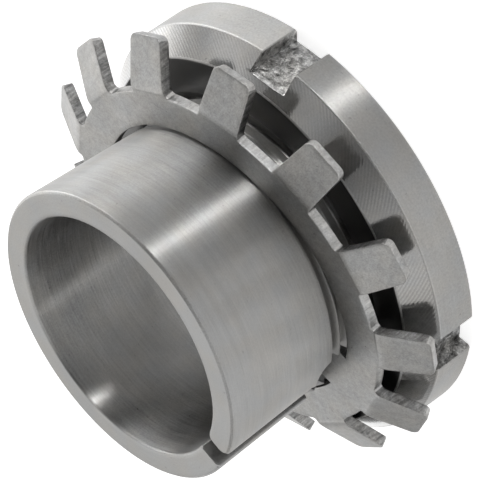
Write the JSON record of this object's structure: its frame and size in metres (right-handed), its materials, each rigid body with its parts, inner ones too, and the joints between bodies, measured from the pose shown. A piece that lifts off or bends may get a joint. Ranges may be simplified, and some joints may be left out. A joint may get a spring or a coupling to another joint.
{
  "type": "bearing adapter sleeve",
  "caption": "Split tapered adapter sleeve with a bent-tab lock washer and a slotted lock nut, for holding a tapered-bore bearing on a plain shaft.",
  "frame": {"origin": "centre of the nut's back face, flush with the threaded end of the sleeve, on the common axis", "axes": "+Z along the axis from the nut towards the large end of the taper; +X through the middle of the slit and keyway"},
  "size_m": [0.0564, 0.0568, 0.029],
  "materials": {
    "ground_steel": "bare steel, cylindrically ground, satin with fine rings around the axis",
    "turned_steel": "bare steel, turned, satin, with a bright fine-turned chamfer and rough broached slots",
    "sheet_steel": "bare stamped sheet steel, tumbled matt, sheared edges"
  },
  "bodies": {
    "sleeve": {"taper_sleeve": "ground_steel"},
    "washer": {"lock_washer": "sheet_steel"},
    "nut": {"lock_nut": "turned_steel"}
  },
  "joints": [
    {"name": "washer_slide", "type": "slide", "parent": "sleeve", "child": "washer", "axis": [0, 0, 1], "range_m": [-0.006, 0.0015]},
    {"name": "nut_turn", "type": "hinge", "parent": "washer", "child": "nut", "pos_m": [0, 0, 0.004], "axis": [0, 0, 1], "range_deg": [-1440, 360]}
  ],
  "couplings": [
    {"joint": "washer_slide", "follows": "nut_turn", "m_per_rad": 0.00023873}
  ]
}
